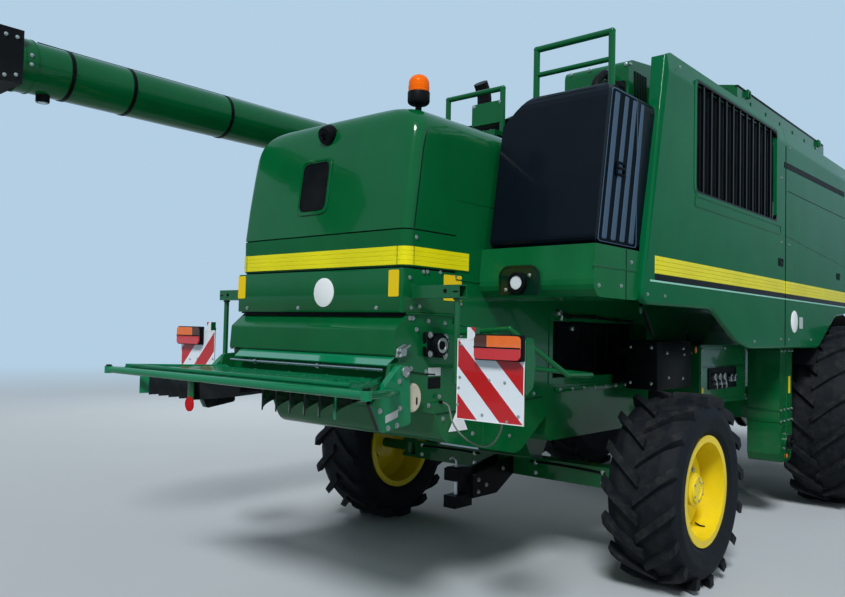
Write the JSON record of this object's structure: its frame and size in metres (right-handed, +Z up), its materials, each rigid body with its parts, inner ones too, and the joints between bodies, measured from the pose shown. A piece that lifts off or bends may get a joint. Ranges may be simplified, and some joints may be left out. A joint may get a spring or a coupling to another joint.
{
  "type": "combine harvester without header",
  "caption": "Self-propelled combine harvester, no header: steered rear wheels, folded unloading auger, grain tank covers, tilting feeder house, hinged side shields, cab.",
  "frame": {"origin": "centre of the bounding box on the ground plane, with the machine parked", "axes": "+X forward along the machine, +Y to the machine's left, +Z up"},
  "size_m": [10, 3.6788, 3.9743],
  "materials": {
    "green_paint": "glossy green enamel on sheet steel",
    "yellow_paint": "glossy yellow enamel",
    "tyre_rubber": "dusty black tyre rubber",
    "tank_plastic": "rotationally moulded black plastic",
    "black_plastic": "moulded black plastic",
    "spout_rubber": "black sheet rubber",
    "dark_steel": "black satin paint on steel",
    "bare_steel": "ground steel rod",
    "cast_block": "painted cast iron",
    "board_sheet": "white sheet with red slanted stripes",
    "lamp_plastic": "orange lamp lens",
    "tinted_glass": "tinted cab glass"
  },
  "bodies": {
    "chassis": {"threshing_body": "green_paint", "cleaning_shoe": "green_paint", "straw_hood": "green_paint", "chopper_housing": "green_paint", "grain_tank": "green_paint", "engine_block": "cast_block", "radiator_box": "dark_steel", "engine_deck": "green_paint", "fuel_tank": "tank_plastic", "left_shields": "green_paint", "front_axle": "green_paint", "rear_axle": "green_paint", "tow_hitch": "dark_steel", "grain_elevator": "green_paint", "valve_box": "green_paint", "warning_boards": "board_sheet", "lamps": "lamp_plastic", "mirrors": "black_plastic", "auger_turret": "green_paint", "cab_shell": "green_paint", "cab_glass": "tinted_glass", "cab_interior": "black_plastic", "cab_platform": "dark_steel"},
    "cover_left": {"tank_cover_left": "green_paint"},
    "cover_right": {"tank_cover_right": "green_paint"},
    "rear_shield": {"right_rear_shield": "green_paint"},
    "front_shield": {"right_front_shield": "green_paint"},
    "steer_left": {"knuckle_left": "green_paint"},
    "steer_right": {"knuckle_right": "green_paint"},
    "steering_rod": {"tie_rod": "bare_steel"},
    "front_wheel_left": {"front_tyre_left": "tyre_rubber", "front_rim_left": "yellow_paint"},
    "front_wheel_right": {"front_tyre_right": "tyre_rubber", "front_rim_right": "yellow_paint"},
    "rear_wheel_left": {"rear_tyre_left": "tyre_rubber", "rear_rim_left": "yellow_paint"},
    "rear_wheel_right": {"rear_tyre_right": "tyre_rubber", "rear_rim_right": "yellow_paint"},
    "spreader": {"tailboard": "green_paint"},
    "auger": {"auger_tube": "green_paint", "auger_spout": "spout_rubber"},
    "door": {"cab_door": "green_paint"},
    "feeder": {"feeder_house": "green_paint"},
    "barrels": {"lift_barrels": "dark_steel"},
    "rods": {"lift_rods": "bare_steel"}
  },
  "joints": [
    {"name": "front_left_spin", "type": "hinge", "parent": "chassis", "child": "front_wheel_left", "pos_m": [2.69, 1.53, 0.925], "axis": [0, 1, 0], "continuous": true},
    {"name": "front_right_spin", "type": "hinge", "parent": "chassis", "child": "front_wheel_right", "pos_m": [2.69, -1.53, 0.925], "axis": [0, 1, 0], "continuous": true},
    {"name": "steer_left_turn", "type": "hinge", "parent": "chassis", "child": "steer_left", "pos_m": [-1.15, 1.08, 0.655], "axis": [0, 0, 1], "range_deg": [-30, 30]},
    {"name": "steer_right_turn", "type": "hinge", "parent": "chassis", "child": "steer_right", "pos_m": [-1.15, -1.08, 0.655], "axis": [0, 0, 1], "range_deg": [-30, 30]},
    {"name": "steering_rod_slide", "type": "slide", "parent": "chassis", "child": "steering_rod", "axis": [0, 1, 0], "range_m": [-0.0945, 0.0945]},
    {"name": "rear_left_spin", "type": "hinge", "parent": "steer_left", "child": "rear_wheel_left", "pos_m": [-1.15, 1.41, 0.66], "axis": [0, 1, 0], "continuous": true},
    {"name": "rear_right_spin", "type": "hinge", "parent": "steer_right", "child": "rear_wheel_right", "pos_m": [-1.15, -1.41, 0.66], "axis": [0, 1, 0], "continuous": true},
    {"name": "cover_left_open", "type": "hinge", "parent": "chassis", "child": "cover_left", "pos_m": [1.355, 1.414, 3.794], "axis": [-1, 0, 0], "range_deg": [0, 70]},
    {"name": "cover_right_open", "type": "hinge", "parent": "chassis", "child": "cover_right", "pos_m": [1.355, -1.414, 3.794], "axis": [1, 0, 0], "range_deg": [0, 70]},
    {"name": "rear_shield_lift", "type": "hinge", "parent": "chassis", "child": "rear_shield", "pos_m": [-0.25, -1.48, 3.56], "axis": [-1, 0, 0], "range_deg": [0, 75]},
    {"name": "front_shield_lift", "type": "hinge", "parent": "chassis", "child": "front_shield", "pos_m": [1.65, -1.48, 3.56], "axis": [-1, 0, 0], "range_deg": [0, 75]},
    {"name": "spreader_tilt", "type": "hinge", "parent": "chassis", "child": "spreader", "pos_m": [-3.355, 0, 1.49], "axis": [0, 1, 0], "range_deg": [-12, 20]},
    {"name": "auger_swing", "type": "hinge", "parent": "chassis", "child": "auger", "pos_m": [2.15, 1.655, 3.12], "axis": [0, 0, -1], "range_deg": [0, 95]},
    {"name": "door_open", "type": "hinge", "parent": "chassis", "child": "door", "pos_m": [3.097, 0.972, 2.785], "axis": [0, 0, 1], "range_deg": [0, 70]},
    {"name": "feeder_lift", "type": "hinge", "parent": "chassis", "child": "feeder", "pos_m": [3.12, 0, 1.69], "axis": [0, -1, 0], "range_deg": [-8, 15]},
    {"name": "lift_barrel_turn", "type": "hinge", "parent": "chassis", "child": "barrels", "pos_m": [3.1, 0, 0.7], "axis": [0, -1, 0], "range_deg": [-7.2, 13.2]},
    {"name": "lift_rod_slide", "type": "slide", "parent": "barrels", "child": "rods", "axis": [0.9963, 0, 0.0854], "range_m": [-0.14, 0.26]}
  ],
  "couplings": [
    {"joint": "steer_right_turn", "follows": "steer_left_turn", "ratio": 1},
    {"joint": "steering_rod_slide", "follows": "steer_left_turn", "m_per_rad": 0.18},
    {"joint": "lift_barrel_turn", "follows": "feeder_lift", "ratio": 0.86},
    {"joint": "lift_rod_slide", "follows": "feeder_lift", "m_per_rad": 0.975}
  ]
}
